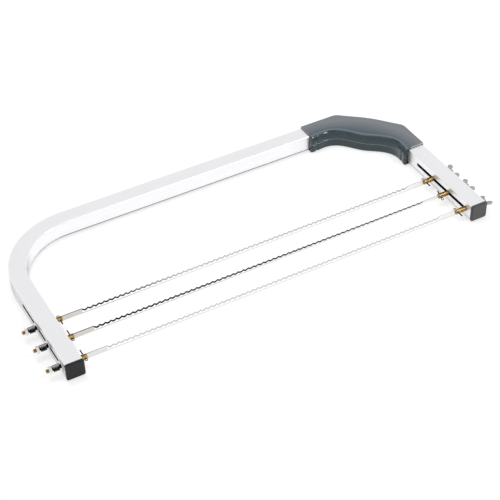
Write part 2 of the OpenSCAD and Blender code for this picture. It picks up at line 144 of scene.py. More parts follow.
def make_tube(
    name: str, rings: np.ndarray, crease: float, marks: dict[str, np.ndarray] | None = None
) -> Piece:
    """Makes a closed tube from rings of points, with its faces pointing outwards.

    In its skin, corner (k, i) goes with (k, i + 1), (k + 1, i + 1) and (k + 1, i), and the
    last point of a ring is followed by its first. Each end is one flat face. The volume
    inside is the sum over the faces of a third of their area times the product of their
    middle and their normal. Where it is negative, all faces are turned round.

    Args:
        name: The name of the piece.
        rings: Points of the drawing in millimetres, by ring, place on the ring and axis.
        crease: The angle in degrees past which an edge is sharp.
        marks: Values between 0 and 1 on each point, by name.

    Returns:
        The new object, linked to the scene.
    """
    count, sides = rings.shape[:2]
    k, i = np.meshgrid(np.arange(count - 1) * sides, np.arange(sides), indexing="ij")
    j = (i + 1) % sides
    skin = np.stack([k + i, k + j, k + sides + j, k + sides + i], axis=-1).reshape(-1, 4)
    ends = [list(range(sides))[::-1], list(range((count - 1) * sides, count * sides))]
    mesh = bpy.data.meshes.new(name)
    mesh.from_pydata(BOW.place(rings).reshape(-1, 3).tolist(), [], skin.tolist() + ends)
    mesh.update()
    middle, normal, area = (np.zeros(len(mesh.polygons) * size) for size in (3, 3, 1))
    for label, values in (("center", middle), ("normal", normal), ("area", area)):
        mesh.polygons.foreach_get(label, values)
    if ((middle * normal).reshape(-1, 3).sum(axis=1) * area).sum() / 3 < 0:
        mesh.flip_normals()
    for mark, values in (marks or {}).items():
        mesh.attributes.new(mark, "FLOAT", "POINT").data.foreach_set("value", values.ravel())
    mesh.shade_smooth()
    mesh.set_sharp_from_angle(angle=math.radians(crease))
    piece = bpy.data.objects.new(name, mesh)
    bpy.context.scene.collection.objects.link(piece)
    return piece


def quarter_drop(radius: float, over: np.ndarray) -> np.ndarray:
    """How far a quarter circle falls below its tangent, at distances along the tangent."""
    return radius - np.sqrt(np.maximum(0, radius**2 - over**2))


def ramp(values: np.ndarray, start: float, over: float) -> np.ndarray:
    """Rises evenly from 0 at a start to 1 after a length, and stays there."""
    return np.clip((values - start) / over, 0, 1)


def cut_bore(
    piece: Piece, centre: Sequence[float], radius: float, low: float, high: float
) -> None:
    """Cuts an upright bore into a piece and keeps the result as its mesh.

    The bore is a circle carried from its lower to its upper end.

    Args:
        piece: The piece that is cut.
        centre: X and Y of the axis.
        radius: The radius.
        low: The lower end.
        high: The upper end.
    """
    angle = np.linspace(0, 2 * math.pi, BORE_SIDES, endpoint=False)
    ring = np.array(centre) + radius * np.stack([np.cos(angle), np.sin(angle)], axis=-1)
    rings = np.stack([np.insert(ring, 2, z, axis=1) for z in (low, high)])
    cutter = make_tube("bore", rings, BORE_SHARP)
    cut = piece.modifiers.new("cut", "BOOLEAN")
    cut.operation = "DIFFERENCE"
    cut.solver = "EXACT"
    cut.object = cutter
    bpy.context.view_layer.update()
    seen = piece.evaluated_get(bpy.context.evaluated_depsgraph_get())
    result = bpy.data.meshes.new_from_object(seen)
    piece.modifiers.clear()
    piece.data = result
    bpy.data.objects.remove(cutter)


# Shader nodes


class Graph:
    """Adds nodes to one node tree and joins their sockets."""

    def __init__(self, tree: bpy.types.NodeTree) -> None:
        """Keeps the tree that nodes are added to."""
        self.tree = tree

    def feed(self, node: bpy.types.Node, values: Values) -> None:
        """Gives the inputs of a node what belongs in them.

        Args:
            node: The node.
            values: A value or another node's socket for each input, by name or number.
        """
        for key, value in values.items():
            socket = node.inputs[key]
            if isinstance(value, bpy.types.NodeSocket):
                self.tree.links.new(value, socket)
            elif socket.type == "RGBA" and len(value) == 3:
                socket.default_value = (*value, 1.0)
            else:
                socket.default_value = value

    def add(self, kind: str, values: Values | None = None, **settings: object) -> bpy.types.Node:
        """Adds a node.

        Args:
            kind: The node's type, without the word ShaderNode.
            values: What goes into its inputs.
            **settings: The node's own properties.

        Returns:
            The new node.
        """
        node = self.tree.nodes.new(kind if kind.startswith("NodeGroup") else "ShaderNode" + kind)
        for name, value in settings.items():
            setattr(node, name, value)
        self.feed(node, values or {})
        return node

    def math(self, operation: str, a: Value, b: Value = 0.0, clamp: bool = False) -> Socket:
        """Result of a sum on one or two numbers."""
        return self.add("Math", {0: a, 1: b}, operation=operation, use_clamp=clamp).outputs[0]

    def noise(
        self, place: Value, scale: Value, detail: float = 3.0, harsh: float = 0.55
    ) -> Socket:
        """Cloudy noise around one half."""
        values = {"Vector": place, "Scale": scale, "Detail": detail, "Roughness": harsh}
        return self.add("TexNoise", values).outputs["Fac"]

    def spread(
        self, value: Value, low: Value, high: Value, to_low: Value = 0.0, to_high: Value = 1.0
    ) -> Socket:
        """Stretches a number from one range to another and keeps it inside."""
        return self.add("MapRange", {0: value, 1: low, 2: high, 3: to_low, 4: to_high}).outputs[0]

    def layers(self, colour: Value, *over: tuple[Value, Value]) -> Socket:
        """Lays colours over another, one after the other.

        Args:
            colour: The colour below.
            *over: A share and a colour for each layer.

        Returns:
            The mixed colour.
        """
        for share, layer in over:
            values = {0: share, 6: colour, 7: layer}
            colour = self.add("Mix", values, data_type="RGBA").outputs[2]
        return colour

    def parts(self, vector: Value) -> Outputs:
        """X, Y and Z of a vector."""
        return self.add("SeparateXYZ", {0: vector}).outputs

    def normal(self) -> Outputs:
        """X, Y and Z of the surface's normal."""
        return self.parts(self.add("NewGeometry").outputs["Normal"])


class Effects:
    """Shader node groups that several finishes share. Each is built once.

    Here and in the finishes, a noise is given by its scale, detail and harshness, and a range
    by its low and high end and what they become, which is 0 and 1 where it isn't said.
    """

    grain_noise: Triple = (1.0, 3.0, 0.6)
    grain_range: Pair = (0.32, 0.68)
    smear_detail: Pair = (4.0, 0.6)
    smear_range: Pair = (0.35, 0.65)
    wear_samples: int = 4
    wear_gain: float = 6.0
    wear_scale: float = 700.0
    wear_range: Range = (0.3, 0.6, 0.4, 1.0)
    dust_slope: Pair = (0.2, 0.9)
    dust_noise: Triple = (45.0, 6.0, 0.7)
    dust_range: Pair = (0.42, 0.7)

    @staticmethod
    def _start(
        name: str, takes: dict[str, str], gives: dict[str, str]
    ) -> tuple[Graph, Outputs, bpy.types.Node]:
        """Starts a node group that takes a place and other values.

        Args:
            name: The name of the effect.
            takes: The kind of each input after the place.
            gives: The kind of each output.

        Returns:
            The graph of the group, what it is given and its output node.
        """
        tree = bpy.data.node_groups.new(name, "ShaderNodeTree")
        for way, sockets in (("INPUT", {"Vector": "Vector", **takes}), ("OUTPUT", gives)):
            for label, kind in sockets.items():
                tree.interface.new_socket(label, in_out=way, socket_type="NodeSocket" + kind)
        graph = Graph(tree)
        return graph, graph.add("NodeGroupInput").outputs, graph.add("NodeGroupOutput")

    @staticmethod
    @cache
    def grain() -> bpy.types.NodeTree:
        """Fine lines: noise on a place whose parts are multiplied by lines per metre.

        Returns:
            The node group.
        """
        graph, given, result = Effects._start("grain", {"Lines": "Vector"}, {"Tone": "Float"})
        values = {0: given["Vector"], 1: given["Lines"]}
        dense = graph.add("VectorMath", values, operation="MULTIPLY").outputs[0]
        fine = graph.noise(dense, *Effects.grain_noise)
        graph.feed(result, {"Tone": graph.spread(fine, *Effects.grain_range)})
        return graph.tree

    @staticmethod
    @cache
    def handling() -> bpy.types.NodeTree:
        """Soft smears from hands and cloths, as a number between a low and a high one.

        Returns:
            The node group.
        """
        takes = {"Scale": "Float", "Low": "Float", "High": "Float"}
        graph, given, result = Effects._start("handling", takes, {"Roughness": "Float"})
        cloud = graph.noise(given["Vector"], given["Scale"], *Effects.smear_detail)
        rough = graph.spread(cloud, *Effects.smear_range, given["Low"], given["High"])
        graph.feed(result, {"Roughness": rough})
        return graph.tree

    @staticmethod
    @cache
    def edge_wear() -> bpy.types.NodeTree:
        """Rubbed edges: how far a rounded normal turns away from the true one, with patches.

        Returns:
            The node group.
        """
        takes = {"Radius": "Float", "Amount": "Float"}
        gives = {"Mask": "Float", "Normal": "Vector"}
        graph, given, result = Effects._start("edge_wear", takes, gives)
        radius = {"Radius": given["Radius"]}
        rounded = graph.add("Bevel", radius, samples=Effects.wear_samples).outputs[0]
        true = graph.add("NewGeometry").outputs["True Normal"]
        same = graph.add("VectorMath", {0: rounded, 1: true}, operation="DOT_PRODUCT")
        turned = graph.math("SUBTRACT", 1.0, same.outputs["Value"])
        cloud = graph.noise(given["Vector"], Effects.wear_scale)
        strong = graph.math("MULTIPLY", turned, Effects.wear_gain, True)
        rubbed = graph.math("MULTIPLY", strong, graph.spread(cloud, *Effects.wear_range))
        mask = graph.math("MULTIPLY", rubbed, given["Amount"], True)
        graph.feed(result, {"Mask": mask, "Normal": rounded})
        return graph.tree

    @staticmethod
    @cache
    def dust() -> bpy.types.NodeTree:
        """Faint dust on what faces up: noise times the upward part of the normal.

        Returns:
            The node group.
        """
        graph, given, result = Effects._start("dust", {"Amount": "Float"}, {"Mask": "Float"})
        upward = graph.spread(graph.normal()[2], *Effects.dust_slope)
        cloud = graph.noise(given["Vector"], *Effects.dust_noise)
        settled = graph.math("MULTIPLY", upward, graph.spread(cloud, *Effects.dust_range))
        graph.feed(result, {"Mask": graph.math("MULTIPLY", settled, given["Amount"], True)})
        return graph.tree


class MaterialGraph(Graph):
    """The graph of a material, with its shader and the place on the surface."""

    def __init__(self, material: bpy.types.Material) -> None:
        """Finds the shader and adds the place in the object's own coordinates.

        Args:
            material: The material, with its nodes in use.
        """
        super().__init__(material.node_tree)
        self.shader = self.tree.nodes["Principled BSDF"]
        self.point = self.add("TexCoord").outputs["Object"]

    def effect(self, tree: bpy.types.NodeTree, **values: Value) -> Outputs:
        """Adds a shared effect at the surface's place, with this finish's own values."""
        return self.add("Group", {"Vector": self.point, **values}, node_tree=tree).outputs

    def grain(self, lines: Triple, place: Socket | None = None) -> Socket:
        """Tone of fine lines, at the surface's place or at another one."""
        at = self.point if place is None else place
        return self.effect(Effects.grain(), Vector=at, Lines=lines)[0]

    def smears(self, scale: float, low: float, high: float) -> Socket:
        """Roughness of a handled surface, between a low and a high one."""
        return self.effect(Effects.handling(), Scale=scale, Low=low, High=high)[0]

    def wear(self, radius: float, amount: float) -> Outputs:
        """Mask of the rubbed edges and the normal that rounds them."""
        return self.effect(Effects.edge_wear(), Radius=radius, Amount=amount)

    def dust(self, amount: float) -> Socket:
        """Mask of the faint dust."""
        return self.effect(Effects.dust(), Amount=amount)[0]

    def mark(self, name: str) -> Socket:
        """A value that the mesh carries on its points."""
        return self.add("Attribute", attribute_name=name).outputs["Fac"]

    # The finishes paint colour darker with this at grazing angles: a painted dark reflection.
    def turned(self, low: float, high: float, most: float) -> Socket:
        """Number that grows as the surface turns away from the ray."""
        facing = self.add("LayerWeight", {"Blend": 0.5}).outputs["Facing"]
        return self.spread(facing, low, high, 0.0, most)

    def bump(self, height: Value, strength: float, distance: float, **normal: Socket) -> Socket:
        """Normal of a surface with fine relief, over another Normal if one is given."""
        values = {"Height": height, "Strength": strength, "Distance": distance, **normal}
        return self.add("Bump", values).outputs[0]

    def across(self, x: Socket, y: Socket) -> Socket:
        """Distance from the middle of the tube, square to the bow.

        Left of the middle it is the distance to the bare bend's centre, less that bend's
        radius, where the parts of the way that point along an arm or along the back count
        as nothing. The right half has the same about the grip's bend.

        Args:
            x: X in the part's frame.
            y: Y in the part's frame.

        Returns:
            The distance in metres, positive outside the middle line.
        """
        sides = []
        for centre, bend, way in (
            (BOW.bare_centre, BOW.bare_bend, -1), (BOW.grip_centre, BOW.grip_bend, 1)
        ):
            middle_x, middle_y = BOW.spot(*centre)
            aside = self.math("MULTIPLY", self.math("SUBTRACT", x, middle_x), way)
            out_x = self.math("MAXIMUM", aside, 0.0)
            out_y = self.math("MAXIMUM", self.math("SUBTRACT", y, middle_y), 0.0)
            out = self.add("CombineXYZ", {0: out_x, 1: out_y}).outputs[0]
            reach = self.add("VectorMath", {0: out}, operation="LENGTH").outputs["Value"]
            sides.append(self.math("SUBTRACT", reach, bend * MM))
        step = self.math("SUBTRACT", sides[1], sides[0])
        right = self.math("MULTIPLY", step, self.math("GREATER_THAN", x, 0.0))
        return self.math("ADD", sides[0], right)


# Finishes


def toned(colour: Colour, share: float) -> Colour:
    """The same colour, darker or lighter."""
    return tuple(part * share for part in colour)


@dataclass(frozen=True)
class Finish:
    """A finish that any number of pieces share."""

    name: str

    def paint(self, graph: MaterialGraph) -> None:
        """Adds this finish's nodes and joins them to the shader."""
        raise NotImplementedError

    def material(self) -> bpy.types.Material:
        """Builds the finish the first time that it is asked for.

        Returns:
            The finish as a material.
        """
        made = bpy.data.materials.get(self.name)
        if made is None:
            made = bpy.data.materials.new(self.name)
            made.use_nodes = True
            self.paint(MaterialGraph(made))
        return made

    def dress(self, piece: Piece) -> None:
        """Gives every slot of a piece this finish.

        Args:
            piece: The piece, with or without material slots.
        """
        if not piece.data.materials:
            piece.data.materials.append(self.material())
        for slot in piece.material_slots:
            slot.material = self.material()


@dataclass(frozen=True)
class SatinTube(Finish):
    """Satin aluminium whose fine lines follow the bow, with painted dark shade inside the tube
    and along its lower and grazing edges.
    """

    light: Colour = (0.97, 0.97, 0.985)
    shade: Colour = (0.93, 0.93, 0.95)
    # Painted shade: the dark colour of the lower and grazing edges, and the near-black inside.
    painted_edge_shade: Colour = (0.07, 0.07, 0.074)
    inside: Colour = (0.010, 0.010, 0.011)
    dust: Colour = (0.8, 0.8, 0.8)
    lines: Triple = (2600.0, 2600.0, 14.0)
    line_slant: float = 0.6
    line_rough: float = 0.06
    relief: Pair = (0.08, 0.00004)
    smears: Triple = (22.0, 0.29, 0.37)
    dust_share: float = 0.10
    slot: float = 4.4
    wall_fit: float = 0.1
    slot_fit: float = 0.05
    skin_fit: float = 0.08
    inside_rough: float = 0.5
    low_shade_band: Pair = (1.1, 2.5)
    low_shade_metallic_drop: float = 0.45
    forward: Range = (-0.3, -0.9, 0.55, 1.0)
    grazing_shade: Triple = (0.66, 0.97, 0.6)
    metallic: float = 0.68

    def within(self, graph: MaterialGraph, across: Socket, height: Socket) -> Socket:
        """Finds the inside of the tube and the walls of its slots.

        Args:
            graph: The graph of the material.
            across: Distance from the middle of the tube, square to the bow.
            height: Height above the middle of the tube.

        Returns:
            One there and nothing elsewhere.
        """
        aside, above = (graph.math("ABSOLUTE", way) for way in (across, height))
        inner_face = (BOW.tube / 2 - BOW.wall + self.wall_fit) * MM
        inner = graph.math("LESS_THAN", graph.math("MAXIMUM", aside, above), inner_face)
        cut = graph.math("LESS_THAN", above, (self.slot / 2 + self.slot_fit) * MM)
        skin = graph.math("LESS_THAN", aside, (BOW.tube / 2 - self.skin_fit) * MM)
        return graph.math("MAXIMUM", inner, graph.math("MULTIPLY", cut, skin))

    def paint(self, graph: MaterialGraph) -> None:
        """Lines along the tube, smears, a painted shade on the lower edge and a painted dark
        inside.

        The painted shade on the lower edge grows towards the bottom, and more so where it faces
        the front. Where the surface turns away from the ray it gets a painted dark reflection.

        Args:
            graph: The graph of the material.
        """
        x, y, z = graph.parts(graph.point)
        across = graph.across(x, y)
        height = graph.math("SUBTRACT", z, BOW.mid_height * MM)
        run = graph.math("ADD", x, graph.math("MULTIPLY", y, self.line_slant))
        along = graph.add("CombineXYZ", {0: across, 1: height, 2: run}).outputs[0]
        lines = graph.grain(self.lines, along)
        # The inside of the tube and the walls of its slots are painted near black, a painted
        # shade.
        within = self.within(graph, across, height)
        foot = BOW.mid_height - BOW.tube / 2
        full, none = ((foot + edge) * MM for edge in self.low_shade_band)
        forward = graph.spread(graph.normal()[1], *self.forward)
        # Painted shade along the bottom edge, which stands in for the shadow under the tube.
        low = graph.math("MULTIPLY", graph.spread(z, full, none, 1.0, 0.0), forward)
        # Painted dark reflection where the surface turns away from the ray, with the lower edge's
        # painted shade.
        painted_edge_shade = graph.math("MAXIMUM", low, graph.turned(*self.grazing_shade))
        dusty = graph.dust(self.dust_share)
        metal = graph.layers(
            self.shade,
            (lines, self.light), (dusty, self.dust), (painted_edge_shade, self.painted_edge_shade), (within, self.inside),
        )
        # The painted shade also takes the metal out of the inside and the lower edge.
        dead = graph.math("ADD", within, graph.math("MULTIPLY", low, self.low_shade_metallic_drop))
        fine = graph.math("MULTIPLY", lines, self.line_rough)
        rough = graph.math("ADD", graph.smears(*self.smears), fine)
        hidden = graph.math("MULTIPLY", within, self.inside_rough)
        graph.feed(graph.shader, {
            "Base Color": metal,
            "Metallic": graph.math("SUBTRACT", self.metallic, dead, True),
            "Roughness": graph.math("ADD", rough, hidden),
            "Normal": graph.bump(lines, *self.relief),
        })


@dataclass(frozen=True)
class MouldedPlastic(Finish):
    """Moulded plastic with flow clouds, a faint skin and edges of another tone."""

    colour: Colour
    cloud: Colour
    edge: Colour
    low: float
    high: float
    specular: float
    edge_radius: float = 0.0005
    edge_share: float = 0.35
    skin: float = 0.05
    skin_depth: float = 0.0001
    skin_noise: Pair = (2200.0, 2.0)
    flow: Triple = (38.0, 5.0, 0.6)
    flow_range: Pair = (0.3, 0.7)
    smear_scale: float = 40.0
    ior: float = 1.5
    coat: float = 0.0
    coat_roughness: float = 0.10
    dust: Colour = (0.5, 0.5, 0.5)
    dust_share: float = 0.06

    def details(self, graph: MaterialGraph, body: Socket) -> Socket:
        """Adds to the colour so far what only some mouldings have."""
        return body

    def paint(self, graph: MaterialGraph) -> None:
        """Flow clouds in the colour, smears in the gloss and a fine skin.

        Args:
            graph: The graph of the material.
        """
        flow = graph.spread(graph.noise(graph.point, *self.flow), *self.flow_range)
        wear = graph.wear(self.edge_radius, self.edge_share)
        worn, dusty = (wear["Mask"], self.edge), (graph.dust(self.dust_share), self.dust)
        body = graph.layers(self.colour, (flow, self.cloud), worn, dusty)
        fine = graph.noise(graph.point, *self.skin_noise)
        graph.feed(graph.shader, {
            "Base Color": self.details(graph, body),
            "Roughness": graph.smears(self.smear_scale, self.low, self.high),
            "Normal": graph.bump(fine, self.skin, self.skin_depth, Normal=wear["Normal"]),
            "IOR": self.ior,
            "Specular IOR Level": self.specular,
            "Coat Weight": self.coat,
            "Coat Roughness": self.coat_roughness,
        })


@dataclass(frozen=True)
class GripPlastic(MouldedPlastic):
    """Glossy plastic of the grip with a pale parting line, painted light on its top, a painted
    sheen band, painted highlights on the rims and painted black shade in the hollow.
    """

    # Painted light: the top is lighter than the sides where it faces up, in these two tones.
    painted_top_light_outer: Colour = (0.200, 0.212, 0.232)
    painted_top_light_inner: Colour = (0.066, 0.100, 0.124)
    line: Colour = (0.26, 0.30, 0.33)
    # Painted highlight on the top edge of the end faces.
    painted_rim_highlight: Colour = (0.62, 0.63, 0.65)
    # Painted sheen band over the round edge of the finger side.
    rolled: Colour = (0.17, 0.21, 0.24)
    # Painted black shade in the hollow and on the end faces.
    hollow: Colour = (0.001, 0.001, 0.001)
    painted_top_span: Pair = (-11.0, 7.0)
    painted_top_range: Range = (0.72, 0.999, 0.0, 0.92)
    sheen_band_rise: Range = (0.74, 0.88, 0.0, 0.85)
    sheen_band_fall: Range = (0.90, 0.985, 1.0, 0.0)
    line_share: float = 0.9

    def details(self, graph: MaterialGraph, body: Socket) -> Socket:
        """Painted top light follows the upward part of the normal, the rest the mesh's marks.

        The painted top light is darker on the finger side, and a pale painted sheen band lies
        over its round edge.

        Args:
            graph: The graph of the material.
            body: The colour so far.

        Returns:
            The colour with the details.
        """
        up = graph.normal()[2]
        x, y = graph.parts(graph.point)[:2]
        # Across the top, the painted top light changes from the finger side's tone to the back's.
        outward = graph.spread(graph.across(x, y), self.painted_top_span[0] * MM, self.painted_top_span[1] * MM)
        top = graph.layers(self.painted_top_light_inner, (outward, self.painted_top_light_outer))
        rise, fall = (graph.spread(up, *band) for band in (self.sheen_band_rise, self.sheen_band_fall))
        return graph.layers(
            body,
            (graph.spread(up, *self.painted_top_range), top),
            (graph.math("MULTIPLY", rise, fall), self.rolled),
            (graph.math("MULTIPLY", graph.mark("seam"), self.line_share), self.line),
            (graph.mark("painted_rim_highlight"), self.painted_rim_highlight),
            (graph.mark("hollow"), self.hollow),
        )


@dataclass(frozen=True)
class BladeSteel(Finish):
    """Polished strip steel with duller shanks, a near-black painted reflection on the scallops'
    ground bevel, and the same dark colour more faintly on the shanks' top edge and the spine.
    """

    face: Colour = (0.93, 0.93, 0.925)
    dull: Colour = (0.60, 0.58, 0.55)
    # Painted dark reflection: the near-black colour of the ground bevel.
    ground: Colour = (0.008, 0.008, 0.009)
    # The bevel's own steel colour where the painted dark reflection gives way.
    bare: Colour = (0.58, 0.58, 0.58)
    rolling: Triple = (30.0, 3000.0, 3000.0)
    rolled_tone: float = 0.95
    grinding: Triple = (4200.0, 200.0, 200.0)
    ground_tone: float = 2.5
    relief: Pair = (0.1, 0.00003)
    smears: Triple = (90.0, 0.22, 0.34)
    metallic: float = 0.95

    def paint(self, graph: MaterialGraph) -> None:
        """Lines along the strip, grinding lines across its bevel, smears and the bevel's painted
        dark reflection.

        Args:
            graph: The graph of the material.
        """
        rolled, across = graph.grain(self.rolling), graph.grain(self.grinding)
        edge = graph.mark("ground")
        shanks, pale = (graph.mark("dull"), self.dull), (graph.mark("bare"), self.bare)
        flat = graph.layers(toned(self.face, self.rolled_tone), (rolled, self.face), shanks)
        # The bevel is painted near black, a painted dark reflection, with lighter grinding lines,
        # and takes the bare colour where the mesh marks it.
        scratched = (across, toned(self.ground, self.ground_tone))
        cut = graph.layers(self.ground, scratched, pale)
        lines = graph.math("ADD", rolled, graph.math("MULTIPLY", edge, across))
        graph.feed(graph.shader, {
            "Base Color": graph.layers(flat, (edge, cut)),
            "Roughness": graph.smears(*self.smears),
            "Metallic": self.metallic,
            "Normal": graph.bump(lines, *self.relief),
        })


@dataclass(frozen=True)
class PlatedMetal(Finish):
    """Plated steel or castings: uneven plating, smears, rubbed edges and optional painted dark
    outlines.
    """

    plate: Colour
    worn: Colour
    low: float
    high: float
    cast: float = 0.0
    # Share of the painted dark outline where the surface turns away from the ray.
    outline: float = 0.0
    painted_outline_shade: Colour = (0.04, 0.04, 0.042)
    painted_outline_range: Pair = (0.40, 0.80)
    clouds: Triple = (420.0, 4.0, 0.6)
    cloud_range: Range = (0.3, 0.7, 0.0, 0.5)
    cloud_tone: float = 0.8
    edges: Pair = (0.00025, 0.8)
    skin: float = 0.05
    skin_depth: float = 0.0001
    skin_noise: Pair = (1800.0, 3.0)
    smear_scale: float = 260.0
    metallic: float = 0.95

    def paint(self, graph: MaterialGraph) -> None:
        """Clouds in the plating, lighter edges, an optional cast skin and optional dark outlines
        painted where the surface turns away from the ray, a painted dark reflection.

        Args:
            graph: The graph of the material.
        """
        cloud = graph.spread(graph.noise(graph.point, *self.clouds), *self.cloud_range)
        wear = graph.wear(*self.edges)
        # Painted dark reflection at grazing angles.
        turned = graph.turned(*self.painted_outline_range, self.outline)
        body = graph.layers(
            self.plate,
            (cloud, toned(self.plate, self.cloud_tone)),
            (wear["Mask"], self.worn),
            (turned, self.painted_outline_shade),
        )
        fine = graph.noise(graph.point, *self.skin_noise)
        relief = (self.skin + self.cast, self.skin_depth)
        graph.feed(graph.shader, {
            "Base Color": body,
            "Roughness": graph.smears(self.smear_scale, self.low, self.high),
            "Metallic": self.metallic,
            "Normal": graph.bump(fine, *relief, Normal=wear["Normal"]),
        })


@dataclass(frozen=True)
class TurnedBrass(Finish):
    """Turned brass: tool lines on the heads and a rolled thread on the studs, with painted
    shade in the slits and inside the springs and a painted dark reflection at grazing angles.
    """

    bright: Colour = (0.60, 0.38, 0.13)
    dull: Colour = (0.13, 0.065, 0.018)
    # Painted shade: the near-black of the studs inside the springs and of the slits.
    painted_recess_shade: Colour = (0.012, 0.010, 0.008)
    rubbed: Colour = (0.80, 0.62, 0.34)
    pitch: float = 0.7
    spring_shade_span: Pair = (-11.0, 0.2)
    slit: float = 1.3
    tool_lines: Triple = (9000.0, 60.0, 60.0)
    tool_depth: float = 0.04
    relief: Pair = (0.7, 0.00025)
    tarnish: Triple = (420.0, 3.0, 0.6)
    tarnish_range: Range = (0.44, 0.60, 0.0, 0.85)
    valley_share: float = 0.9
    grazing_shade: Triple = (0.30, 0.75, 0.9)
    edges: Pair = (0.0002, 0.7)
    smears: Triple = (240.0, 0.2, 0.34)
    metallic: float = 0.95

    def slits(self, graph: MaterialGraph, y: Socket, z: Socket) -> Socket:
        """Finds the lines along the tops of the heads where the slits are.

        Args:
            graph: The graph of the material.
            y: Y in the part's frame.
            z: Z in the part's frame.

        Returns:
            One on the lines and nothing elsewhere.
        """
        nearest = 1.0
        for station in BOW.stations:
            middle = BOW.spot(0.0, station)[1]
            away = graph.math("ABSOLUTE", graph.math("SUBTRACT", y, middle))
            nearest = graph.math("MINIMUM", away, nearest)
        narrow = graph.math("LESS_THAN", nearest, self.slit / 2 * MM)
        return graph.math("MULTIPLY", narrow, graph.math("GREATER_THAN", z, BOW.mid_height * MM))

    def paint(self, graph: MaterialGraph) -> None:
        """Rings along X. Between the arms they are tool lines, and elsewhere a thread.

        The thread's height is a sine along X with one wave a pitch, and its valleys are
        duller than its ridges. The studs inside the springs and the slits are painted dark, a
        painted shade, and the brass turns duller at grazing angles, a painted dark reflection.

        Args:
            graph: The graph of the material.
        """
        x, y, z = graph.parts(graph.point)
        left, right, start, stop = (
            BOW.spot(place, 0.0)[0] for place in (BOW.tube, BOW.width - BOW.tube, *self.spring_shade_span)
        )
        beyond = graph.math("GREATER_THAN", x, right)
        outside = graph.math("MAXIMUM", graph.math("LESS_THAN", x, left), beyond)
        turn = graph.math("MULTIPLY", x, 2 * math.pi / (self.pitch * MM))
        thread = graph.spread(graph.math("SINE", turn), -1.0, 1.0)
        tool = graph.grain(self.tool_lines)
        valley = graph.math("MULTIPLY", graph.math("SUBTRACT", 1.0, thread), outside)
        tarnish = graph.spread(graph.noise(graph.point, *self.tarnish), *self.tarnish_range)
        valley = graph.math("MULTIPLY", valley, self.valley_share)
        dull = graph.math("MAXIMUM", tarnish, valley)
        # Painted dark reflection at grazing angles, in the dull colour.
        dull = graph.math("MAXIMUM", dull, graph.turned(*self.grazing_shade))
        # Painted shade on the studs inside the springs.
        past, before = graph.math("GREATER_THAN", x, start), graph.math("LESS_THAN", x, stop)
        inside = graph.math("SUBTRACT", 1.0, outside)
        # Painted shade in the slits along the tops of the heads.
        slit = graph.math("MULTIPLY", self.slits(graph, y, z), inside)
        dark = graph.math("MAXIMUM", graph.math("MULTIPLY", past, before), slit)
        wear = graph.wear(*self.edges)
        worn = (wear["Mask"], self.rubbed)
        rings = graph.math("MULTIPLY", thread, outside)
        height = graph.math("ADD", rings, graph.math("MULTIPLY", tool, self.tool_depth))
        graph.feed(graph.shader, {
            "Base Color": graph.layers(self.bright, (dull, self.dull), (dark, self.painted_recess_shade), worn),
            "Roughness": graph.smears(*self.smears),
            "Metallic": self.metallic,
            "Normal": graph.bump(height, *self.relief, Normal=wear["Normal"]),
        })


@dataclass(frozen=True)
class DrawnWire(Finish):
    """Drawn wire with fine lines, patches where its dark skin has gone and, on the spring, a
    painted highlight on the coils.
    """

    skin: Colour
    bare: Colour
    rubbed: float = 0.3
    low: float = 0.22
    high: float = 0.4
    crests: bool = False
    patches: Triple = (900.0, 4.0, 0.6)
    patch_range: Pair = (0.5, 0.72)
    drawing: Triple = (2500.0, 700.0, 2500.0)
    drawn_share: float = 0.25
    drawn_tone: float = 1.5
    smear_scale: float = 300.0
    metallic: float = 0.85

    def paint(self, graph: MaterialGraph) -> None:
        """Patches of bare metal in a dark skin, with the mesh's painted highlight in the bare
        colour.

        Args:
            graph: The graph of the material.
        """
        cloud = graph.noise(graph.point, *self.patches)
        patch = graph.spread(cloud, *self.patch_range, 0.0, self.rubbed)
        # Painted highlight: the mesh's mark on the coils takes the bare colour.
        if self.crests:
            patch = graph.math("MAXIMUM", patch, graph.mark("crest"))
        faint = graph.math("MULTIPLY", graph.grain(self.drawing), self.drawn_share)
        drawn = (faint, toned(self.skin, self.drawn_tone))
        graph.feed(graph.shader, {
            "Base Color": graph.layers(self.skin, (patch, self.bare), drawn),
            "Roughness": graph.smears(self.smear_scale, self.low, self.high),
            "Metallic": self.metallic,
        })


class Finishes:
    """The finishes of this cake leveler."""

    tube = SatinTube("satin_aluminium")
    grip = GripPlastic(
        "slate_plastic", (0.006, 0.030, 0.042), (0.012, 0.040, 0.052), (0.10, 0.12, 0.14),
        0.07, 0.14, 0.38, coat=0.4,
    )
    plug = MouldedPlastic(
        "black_plastic", (0.016, 0.016, 0.019), (0.024, 0.024, 0.027), (0.002, 0.002, 0.002),
        0.28, 0.42, 0.22, edge_radius=0.0013, edge_share=2.0, skin=0.12,
    )
    # A lighter copy of the black plastic for the right plug: painted light, for the light falling
    # more on it.
    painted_light_plug = replace(
        plug, name="black_plastic_painted_lighter", colour=(0.080, 0.077, 0.080), cloud=(0.105, 0.10, 0.105),
        specular=0.35,
    )
    blade = BladeSteel("strip_steel")
    brass = TurnedBrass("turned_brass")
    nut = PlatedMetal("bright_nickel", (0.80, 0.79, 0.77), (0.92, 0.91, 0.90), 0.12, 0.22)
    washer = PlatedMetal("zinc_washer", (0.74, 0.73, 0.70), (0.88, 0.87, 0.85), 0.26, 0.38)
    wing = PlatedMetal(
        "cast_zinc", (0.50, 0.50, 0.51), (0.80, 0.80, 0.80), 0.22, 0.36, cast=0.12, outline=1.0
    )
    screw = PlatedMetal("zinc_screw", (0.66, 0.66, 0.64), (0.85, 0.85, 0.83), 0.22, 0.34)
    # The spring's painted highlight on the coils is in its bare colour.
    spring = DrawnWire(
        "black_spring_wire", (0.010, 0.010, 0.011), (0.92, 0.91, 0.90),
        rubbed=0.03, low=0.2, high=0.32, crests=True,
    )
    pin = DrawnWire("dark_pin_wire", (0.020, 0.019, 0.018), (0.16, 0.15, 0.14), rubbed=0.4)


